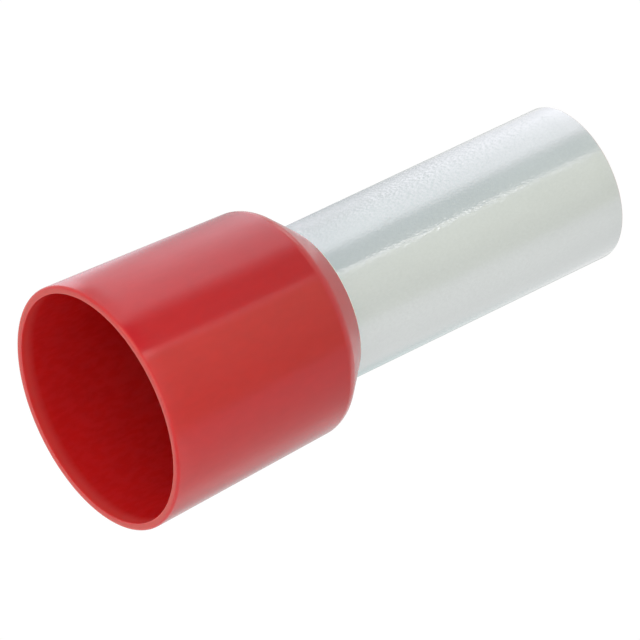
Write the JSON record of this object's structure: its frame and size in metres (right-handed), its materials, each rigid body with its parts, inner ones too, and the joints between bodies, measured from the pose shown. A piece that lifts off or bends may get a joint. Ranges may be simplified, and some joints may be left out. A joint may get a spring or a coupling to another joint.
{
  "type": "insulated wire ferrule",
  "caption": "Insulated crimp sleeve for the stripped end of a stranded cable: a tinned copper tube with a flared entry, held in the shoulder of a red tapered plastic collar.",
  "frame": {"origin": "centre of the sleeve's cut end, which the part stands on", "axes": "+Z along the common axis of the sleeve and the collar, from the sleeve's cut end to the collar's mouth; X and Y are any two square directions across the round section"},
  "size_m": [0.0134, 0.0134, 0.0317],
  "materials": {
    "collar_plastic": "smooth semi-gloss red",
    "tinned_copper": "satin tin plating"
  },
  "bodies": {
    "root": {"collar": "collar_plastic", "sleeve": "tinned_copper"}
  },
  "joints": []
}
